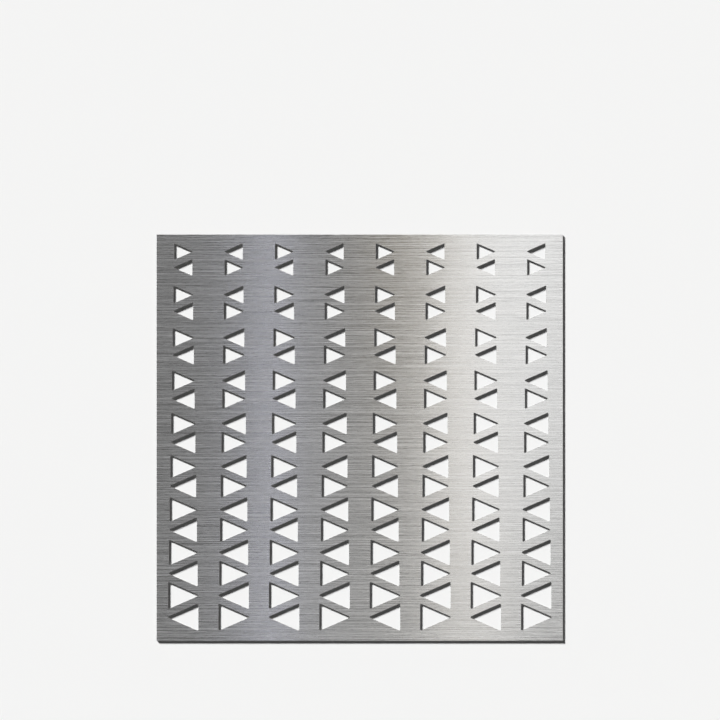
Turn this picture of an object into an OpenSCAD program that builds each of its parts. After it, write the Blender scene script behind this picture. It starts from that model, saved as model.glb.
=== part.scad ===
// Decorative metal sheet: one flat square panel with a graded field of triangular cut-outs.
// The sheet lies on its back face. +X is to the right, +Y is towards the top edge, +Z is out of the front.
// The cut-outs stand in columns and in pairs of rows. They point left and right by turns,
// so each column reads as a zigzag ribbon, and they grow from the top edge to the bottom edge.

/* [Sheet] */
// Width of the sheet, from the left edge to the right edge
sheet_w = 1000; // [400:1:2000]
// Height of the sheet, from the bottom edge to the top edge
sheet_h = 1000; // [400:1:2000]
// Thickness of the metal
sheet_t = 2; // [1:0.5:6]

/* [Margins] */
// Least metal left between the cut-outs and the left or right edge
side_margin = 25; // [10:1:80]
// Metal left between the top edge and the first row of cut-outs
top_margin = 22; // [10:1:80]
// Least metal left between the last row of cut-outs and the bottom edge
bottom_margin = 20; // [10:1:80]

/* [Cut-outs] */
// Length of a cut-out in the first pair of rows, from its base to its tip
first_length = 45; // [20:0.5:120]
// Length of a cut-out in the last pair of rows, from its base to its tip
last_length = 75; // [20:0.5:120]
// Angle between the two sloping sides of a cut-out
tip_angle = 47; // [30:0.5:70]
// Corner radius of a cut-out in the first pair of rows
first_corner_r = 1.4; // [0.5:0.1:4]
// Corner radius of a cut-out in the last pair of rows
last_corner_r = 2.4; // [0.5:0.1:4]

/* [Metal between the cut-outs] */
// Least metal between two columns
column_gap = 49.2; // [10:0.1:150]
// Width of the slanted bar between the two rows of a pair
bar_w = 16.3; // [6:0.1:60]
// Least width of the slanted bar between two pairs of rows
pair_bar_w = 16; // [6:0.1:60]

/* [Hidden] */

// Straight steps that make up the arc at each corner of a cut-out
CORNER_STEPS = 4;

half_tip = tip_angle / 2;
longest = max(first_length, last_length);
largest_r = max(first_corner_r, last_corner_r);

// Rise of a sloping side, between the centres of the arcs at its two ends
function side_rise(length, corner_r) = (length - 2 * corner_r) * tan(half_tip);

// Half the width of a cut-out at its base
function half_base(length, corner_r) = side_rise(length, corner_r) + corner_r;

// Step from one row to the next that leaves a slanted bar of the given width between them
function row_step(length, corner_r, bar) =
    side_rise(length, corner_r) + (bar + 2 * corner_r) / cos(half_tip);

// Half the height of a pair of rows
function pair_half_height(length, corner_r) =
    row_step(length, corner_r, bar_w) / 2 + half_base(length, corner_r);

// As many columns as fit between the side margins, centred on the sheet
column_pitch = longest + column_gap;
columns = max(1, floor((sheet_w - 2 * side_margin + column_gap) / column_pitch));
first_column_x = -column_pitch * (columns - 1) / 2;

// As many pairs of rows as fit between the top and bottom margins, counted from the top
pair_pitch = row_step(longest, largest_r, bar_w) + row_step(longest, largest_r, pair_bar_w);
first_pair_y = sheet_h / 2 - top_margin - pair_half_height(first_length, first_corner_r);
lowest_pair_y = -sheet_h / 2 + bottom_margin + pair_half_height(last_length, last_corner_r);
pairs = max(1, floor((first_pair_y - lowest_pair_y) / pair_pitch) + 1);

// Value for one pair of rows, graded evenly from the first pair to the last
function graded(first, last, pair) = first + (last - first) * pair / max(1, pairs - 1);

// Points of an arc, from one angle to another
function arc(centre, radius, from, to) = [
    for (step = [0 : CORNER_STEPS])
        let (angle = from + (to - from) * step / CORNER_STEPS)
        centre + radius * [cos(angle), sin(angle)]
];

// Outline of a cut-out that points to +X, with the middle of its length at the origin
function cutout_points(length, corner_r) =
    let (
        arc_x = length / 2 - corner_r,
        arc_y = side_rise(length, corner_r),
        side_normal = 90 - half_tip
    )
    concat(
        arc([arc_x, 0], corner_r, -side_normal, side_normal),
        arc([-arc_x, arc_y], corner_r, side_normal, 180),
        arc([-arc_x, -arc_y], corner_r, 180, 360 - side_normal)
    );

// One cut-out that points to +X, or to -X when it is turned
module cutout(length, corner_r, turned) {
    mirror([turned ? 1 : 0, 0])
        polygon(cutout_points(length, corner_r));
}

// Two rows of cut-outs: in each column the upper and the lower one point opposite ways
module cutout_pair(pair) {
    length = graded(first_length, last_length, pair);
    corner_r = graded(first_corner_r, last_corner_r, pair);
    half_step = row_step(length, corner_r, bar_w) / 2;
    for (column = [0 : columns - 1]) {
        odd_column = column % 2 == 1;
        translate([first_column_x + column * column_pitch, first_pair_y - pair * pair_pitch]) {
            translate([0, half_step])
                cutout(length, corner_r, odd_column);
            translate([0, -half_step])
                cutout(length, corner_r, !odd_column);
        }
    }
}

// The panel: a flat blank with the field of cut-outs cut through it
module sheet() {
    color("silver")
        linear_extrude(sheet_t)
            difference() {
                square([sheet_w, sheet_h], center = true);
                for (pair = [0 : pairs - 1])
                    cutout_pair(pair);
            }
}

sheet();
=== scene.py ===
import math

import bpy
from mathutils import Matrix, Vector


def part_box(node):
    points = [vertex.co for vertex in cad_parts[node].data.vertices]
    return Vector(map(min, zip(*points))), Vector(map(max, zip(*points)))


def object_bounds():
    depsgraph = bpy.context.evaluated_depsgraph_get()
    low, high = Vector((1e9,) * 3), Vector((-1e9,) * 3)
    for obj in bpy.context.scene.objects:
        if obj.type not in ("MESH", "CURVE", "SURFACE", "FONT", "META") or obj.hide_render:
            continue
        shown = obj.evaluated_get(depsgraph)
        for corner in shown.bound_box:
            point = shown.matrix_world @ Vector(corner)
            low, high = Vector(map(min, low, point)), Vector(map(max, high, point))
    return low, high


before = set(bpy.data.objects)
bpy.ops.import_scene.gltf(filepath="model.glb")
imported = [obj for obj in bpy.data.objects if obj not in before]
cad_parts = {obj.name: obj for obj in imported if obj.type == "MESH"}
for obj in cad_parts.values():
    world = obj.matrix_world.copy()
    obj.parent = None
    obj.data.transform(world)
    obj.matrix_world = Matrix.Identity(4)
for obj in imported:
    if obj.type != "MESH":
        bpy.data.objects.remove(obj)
cad_low, cad_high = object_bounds()
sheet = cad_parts["sheet"]
sheet_low, sheet_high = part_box("sheet")
sheet_centre = (sheet_low + sheet_high) / 2

# The photograph's frame, in its pixels: where the sheet's four edges lie
PHOTO_SIDE = 720.0
PHOTO_LEFT = 156.6
PHOTO_RIGHT = 562.8
PHOTO_TOP = 234.7
PHOTO_BOTTOM = 640.5

# Camera, in millimetres
LENS = 50.0
SENSOR = 36.0

# Directions and colours
UP = (0.0, 0.0, 1.0)
BRUSH_STROKE = (1.0, 0.0, 0.0)
WHITE = (1.0, 1.0, 1.0)

# Deburred edges of the cut metal, in metres
EDGE_BREAK = 0.0002
EDGE_STEPS = 2
EDGE_ANGLE = math.radians(60)
WELD_GAP = 0.00001
FLAT_ANGLE = math.radians(0.5)

# A surface is a brushed face where its normal is near upright, and a cut wall where it is near level
FACE_FROM = 0.35
FACE_TO = 0.85

# Noise runs from 0 to 1 about this value
NOISE_MIDDLE = 0.5

# Brushed faces, with the depth of the lines in metres
STEEL_COLOUR = (0.675, 0.675, 0.67)
BRUSH_COLOUR_SPAN = 0.95
BRUSH_ROUGHNESS = 0.28
BRUSH_ROUGHNESS_SPAN = 0.20
BRUSH_ANISOTROPY = 0.95
BRUSH_DEPTH = 0.000006
# Brush lines: changes of tone per metre along a line, lines per metre, and the strength of each layer
BRUSH_LAYERS = (
    (3.0, 420.0, 0.66),
    (5.0, 900.0, 0.76),
    (22.0, 620.0, 0.64),
    (90.0, 1500.0, 0.75),
    (9.0, 5200.0, 0.85),
)
# Step in the noise from one brush line to the next, and through the thickness, per metre
LINE_STEP = 17.37
LINE_DEPTH = 300.0
# Share of the next line's tone that is taken off a line, so that a groove has a bright and a dark side:
# relief in the bump, and a painted highlight and painted shade on the groove's two sides in the colour
GROOVE_SIDE_SHADE_AND_RELIEF = 0.5

# Cut walls, with the depth of the marks in metres
CUT_COLOUR = (0.62, 0.615, 0.605)
CUT_COLOUR_SPAN = 0.50
CUT_ROUGHNESS = 0.60
CUT_ROUGHNESS_SPAN = 0.20
CUT_DEPTH = 0.00003
# Cut marks per metre, along the wall and through the thickness
CUT_MARKS_ALONG = 2600.0
CUT_MARKS_THROUGH = 150.0

# Floor, in metres
FLOOR_SIDE = 80.0
FLOOR_DROP = 0.0002
FLOOR_COLOUR = (0.90, 0.90, 0.895)

# Room, in shares of white. Its panels and ceiling start and end at heights from 0, level, to 1, overhead
WALL_LIGHT = 0.90
PANELS = 4
PANEL_LOW = 0.36
PANEL_HIGH = 1.10
PANEL_FROM = 0.17
PANEL_TO = 0.32
CEILING_LIGHT = 0.20
CEILING_FROM = 0.62
CEILING_TO = 0.84
# What the room gives to the floor, which the key lights
SHADE_LIGHT = 0.06

# Key light. Its level is the share of white that it gives to a level white surface
KEY_AZIMUTH = math.radians(129)
KEY_ELEVATION = math.radians(11.5)
KEY_ANGLE = math.radians(5)
KEY_LEVEL = 0.95

# Softboxes: name, centre x and y, width and length, radiance and colour. Lengths are in metres
SOFTBOX_HEIGHT = 6.0
SOFTBOXES = (
    ("softbox_right", 1.55, 1.5, 1.30, 6.0, 1.15, WHITE),
    ("softbox_middle", 0.95, 0.0, 0.65, 4.5, 1.35, (1.0, 0.95, 0.88)),
    ("softbox_warm", 0.30, 3.0, 0.50, 6.0, 0.18, (1.0, 0.75, 0.35)),
    ("softbox_strip", -0.80, 4.0, 0.15, 20.0, 1.40, (0.80, 0.82, 1.0)),
    ("softbox_fill", 0.40, -6.5, 1.90, 13.5, 0.21, WHITE),
)


class Graph:
    """Adds nodes to one node tree. A node's input is a value or another node's output."""

    def __init__(self, tree):
        self.tree = tree
        tree.nodes.clear()

    def feed(self, socket, value):
        if isinstance(value, bpy.types.NodeSocket):
            self.tree.links.new(value, socket)
        else:
            socket.default_value = value

    def add(self, kind, inputs=None, **settings):
        made = self.tree.nodes.new(kind)
        for name, value in settings.items():
            setattr(made, name, value)
        for name, value in (inputs or {}).items():
            self.feed(made.inputs[name], value)
        return made

    def math(self, operation, *values):
        return self.add("ShaderNodeMath", dict(enumerate(values)), operation=operation).outputs[0]

    def vector(self, operation, *values):
        return self.add("ShaderNodeVectorMath", dict(enumerate(values)), operation=operation).outputs[0]

    def scale(self, vector, factor):
        inputs = {"Vector": vector, "Scale": factor}
        return self.add("ShaderNodeVectorMath", inputs, operation="SCALE").outputs[0]

    def mix(self, factor, low, high, data_type="FLOAT"):
        made = self.add("ShaderNodeMix", {0: factor}, data_type=data_type)
        sockets = [socket for socket in made.inputs if socket.enabled]
        self.feed(sockets[1], low)
        self.feed(sockets[2], high)
        return next(socket for socket in made.outputs if socket.enabled)

    def smooth_step(self, value, start, end):
        made = self.add(
            "ShaderNodeMapRange",
            {"Value": value, "From Min": start, "From Max": end, "To Min": 0.0, "To Max": 1.0},
            interpolation_type="SMOOTHSTEP",
        )
        return made.outputs["Result"]

    def noise(self, coordinates, scale):
        """Smooth noise about zero."""
        stretched = self.vector("MULTIPLY", coordinates, scale)
        made = self.add("ShaderNodeTexNoise", {"Vector": stretched, "Scale": 1.0, "Detail": 0.0})
        return self.math("SUBTRACT", made.outputs["Fac"], NOISE_MIDDLE)

    def line_tone(self, place, row, along):
        spot = self.add("ShaderNodeCombineXYZ", {"X": place["X"], "Y": row, "Z": place["Z"]}).outputs[0]
        return self.noise(spot, (along, LINE_STEP, LINE_DEPTH))

    def lines(self, coordinates, along, across):
        """Straight lines along x, each with its own tone less a share of the next one's."""
        place = self.add("ShaderNodeSeparateXYZ", {0: coordinates}).outputs
        row = self.math("FLOOR", self.math("MULTIPLY", place["Y"], across))
        next_row = self.math("ADD", row, 1.0)
        tone = self.line_tone(place, row, along)
        next_tone = self.line_tone(place, next_row, along)
        # A line less a share of the next one: in the colour this paints a bright and a dark side on each
        # groove, painted highlight and painted shade besides the lines' random tone
        return self.math("MULTIPLY_ADD", next_tone, -GROOVE_SIDE_SHADE_AND_RELIEF, tone)


def opaque(colour):
    """A colour as a colour socket takes it."""
    return (*colour, 1.0)


def new_material(name):
    """A material and the graph of its emptied node tree."""
    material = bpy.data.materials.new(name)
    material.use_nodes = True
    return material, Graph(material.node_tree)


def brush_lines(graph, place):
    """All layers of brush lines, summed."""
    brush = 0.0
    for along, across, strength in BRUSH_LAYERS:
        layer = graph.lines(place, along, across)
        brush = graph.math("MULTIPLY_ADD", layer, strength, brush)
    return brush


def brushed_steel():
    """Steel brushed from left to right on its faces, with fine upright marks on its cut walls."""
    material, graph = new_material("brushed_steel")
    place = graph.add("ShaderNodeTexCoord").outputs["Object"]
    normal = graph.add("ShaderNodeNewGeometry").outputs["True Normal"]
    upright = graph.math("ABSOLUTE", graph.add("ShaderNodeSeparateXYZ", {0: normal}).outputs["Z"])
    face = graph.smooth_step(upright, FACE_FROM, FACE_TO)

    marks = graph.noise(place, (CUT_MARKS_ALONG, CUT_MARKS_ALONG, CUT_MARKS_THROUGH))
    grain = graph.mix(face, marks, brush_lines(graph, place))

    colour = graph.mix(face, opaque(CUT_COLOUR), opaque(STEEL_COLOUR), "RGBA")
    colour_span = graph.mix(face, CUT_COLOUR_SPAN, BRUSH_COLOUR_SPAN)
    # The colour takes the brush lines' random tone and their painted groove-side highlight and shade
    shade = graph.math("EXPONENT", graph.math("MULTIPLY", grain, colour_span))
    roughness = graph.mix(face, CUT_ROUGHNESS, BRUSH_ROUGHNESS)
    roughness_span = graph.mix(face, CUT_ROUGHNESS_SPAN, BRUSH_ROUGHNESS_SPAN)
    depth = graph.mix(face, CUT_DEPTH, BRUSH_DEPTH)
    height = graph.math("MULTIPLY", grain, depth)
    bump = graph.add("ShaderNodeBump", {"Strength": 1.0, "Distance": 1.0, "Height": height})
    # A highlight spreads across the brush lines on a face, and up and down on a cut wall
    across_lines = graph.vector("CROSS_PRODUCT", normal, BRUSH_STROKE)
    spread = graph.mix(face, UP, across_lines, "VECTOR")
    shader = graph.add("ShaderNodeBsdfPrincipled", {
        "Base Color": graph.scale(colour, shade),
        "Metallic": 1.0,
        "Roughness": graph.math("MULTIPLY_ADD", grain, roughness_span, roughness),
        "Anisotropic": BRUSH_ANISOTROPY,
        "Tangent": spread,
        "Normal": bump.outputs["Normal"],
    })
    graph.add("ShaderNodeOutputMaterial", {"Surface": shader.outputs[0]})
    return material


def floor_paper():
    """Plain pale floor."""
    material, graph = new_material("floor_paper")
    shader = graph.add("ShaderNodeBsdfDiffuse", {"Color": opaque(FLOOR_COLOUR)})
    graph.add("ShaderNodeOutputMaterial", {"Surface": shader.outputs[0]})
    return material


def dress_sheet():
    """The sheet keeps its own shape. Its flat faces are joined, its edges broken and its finish put on."""
    weld = sheet.modifiers.new("weld", "WELD")
    weld.merge_threshold = WELD_GAP
    flat = sheet.modifiers.new("flat", "DECIMATE")
    flat.decimate_type = "DISSOLVE"
    flat.angle_limit = FLAT_ANGLE
    edge = sheet.modifiers.new("edge", "BEVEL")
    edge.width = EDGE_BREAK
    edge.segments = EDGE_STEPS
    edge.limit_method = "ANGLE"
    edge.angle_limit = EDGE_ANGLE
    material = brushed_steel()
    for slot in sheet.material_slots:
        slot.material = material


def make_floor():
    """One wide square, just under the sheet."""
    half = FLOOR_SIDE / 2
    level = cad_low.z - FLOOR_DROP
    corners = [(-half, -half, level), (half, -half, level), (half, half, level), (-half, half, level)]
    mesh = bpy.data.meshes.new("floor")
    mesh.from_pydata(corners, [], [(0, 1, 2, 3)])
    floor = bpy.data.objects.new("floor", mesh)
    bpy.context.scene.collection.objects.link(floor)
    mesh.materials.append(floor_paper())


def make_world():
    """Pale walls, a ring of soft panels above them and a dark ceiling. Less of it falls on the floor."""
    world = bpy.data.worlds.new("studio")
    bpy.context.scene.world = world
    world.use_nodes = True
    graph = Graph(world.node_tree)
    direction = graph.add("ShaderNodeTexCoord").outputs["Generated"]
    axes = graph.add("ShaderNodeSeparateXYZ", {0: direction}).outputs
    turn = graph.math("ARCTAN2", axes["X"], axes["Y"])
    wave = graph.math("SINE", graph.math("MULTIPLY", turn, PANELS))
    panel_middle = (PANEL_HIGH + PANEL_LOW) / 2
    panel_swing = (PANEL_HIGH - PANEL_LOW) / 2
    panel = graph.math("MULTIPLY_ADD", wave, panel_swing, panel_middle)
    raised = graph.smooth_step(axes["Z"], PANEL_FROM, PANEL_TO)
    ceiling = graph.smooth_step(axes["Z"], CEILING_FROM, CEILING_TO)
    shown = graph.mix(ceiling, graph.mix(raised, WALL_LIGHT, panel), CEILING_LIGHT)
    rays = graph.add("ShaderNodeLightPath").outputs
    seen = graph.math("MAXIMUM", rays["Is Camera Ray"], rays["Is Glossy Ray"])
    seen = graph.math("MAXIMUM", seen, rays["Is Transmission Ray"])
    light = graph.mix(seen, SHADE_LIGHT, shown)
    background = graph.add("ShaderNodeBackground", {"Color": opaque(WHITE), "Strength": light})
    graph.add("ShaderNodeOutputWorld", {"Surface": background.outputs[0]})


def make_softbox(name, x, y, width, length, radiance, colour):
    """A level lamp over the sheet, which shows in the metal and doesn't light the floor."""
    lamp = bpy.data.lights.new(name, "AREA")
    lamp.shape = "RECTANGLE"
    lamp.size = width
    lamp.size_y = length
    lamp.energy = radiance * math.pi * width * length
    lamp.color = colour
    softbox = bpy.data.objects.new(name, lamp)
    softbox.location = (x, y, SOFTBOX_HEIGHT)
    softbox.visible_diffuse = False
    bpy.context.scene.collection.objects.link(softbox)


def make_key():
    """Low light from the upper left, which lights the floor and draws the sheet's shadow."""
    lamp = bpy.data.lights.new("key", "SUN")
    lamp.angle = KEY_ANGLE
    lamp.energy = KEY_LEVEL * math.pi / math.sin(KEY_ELEVATION)
    key = bpy.data.objects.new("key", lamp)
    towards = Vector((
        math.cos(KEY_AZIMUTH) * math.cos(KEY_ELEVATION),
        math.sin(KEY_AZIMUTH) * math.cos(KEY_ELEVATION),
        math.sin(KEY_ELEVATION),
    ))
    key.rotation_mode = "QUATERNION"
    key.rotation_quaternion = towards.to_track_quat("Z", "Y")
    key.visible_glossy = False
    bpy.context.scene.collection.objects.link(key)


def make_camera():
    """Looks straight down, with the sheet's edges at their places in the photograph."""
    pixel = (sheet_high.x - sheet_low.x) / (PHOTO_RIGHT - PHOTO_LEFT)
    right = (PHOTO_SIDE - PHOTO_LEFT - PHOTO_RIGHT) / 2 * pixel
    up = (PHOTO_TOP + PHOTO_BOTTOM - PHOTO_SIDE) / 2 * pixel
    distance = PHOTO_SIDE * pixel * LENS / SENSOR
    data = bpy.data.cameras.new("camera")
    data.lens = LENS
    data.sensor_width = SENSOR
    camera = bpy.data.objects.new("camera", data)
    camera.location = (sheet_centre.x + right, sheet_centre.y + up, sheet_high.z + distance)
    bpy.context.scene.collection.objects.link(camera)
    bpy.context.scene.camera = camera


make_camera()
dress_sheet()
make_floor()
make_world()
make_key()
for softbox in SOFTBOXES:
    make_softbox(*softbox)
bpy.context.scene.view_settings.view_transform = "Standard"
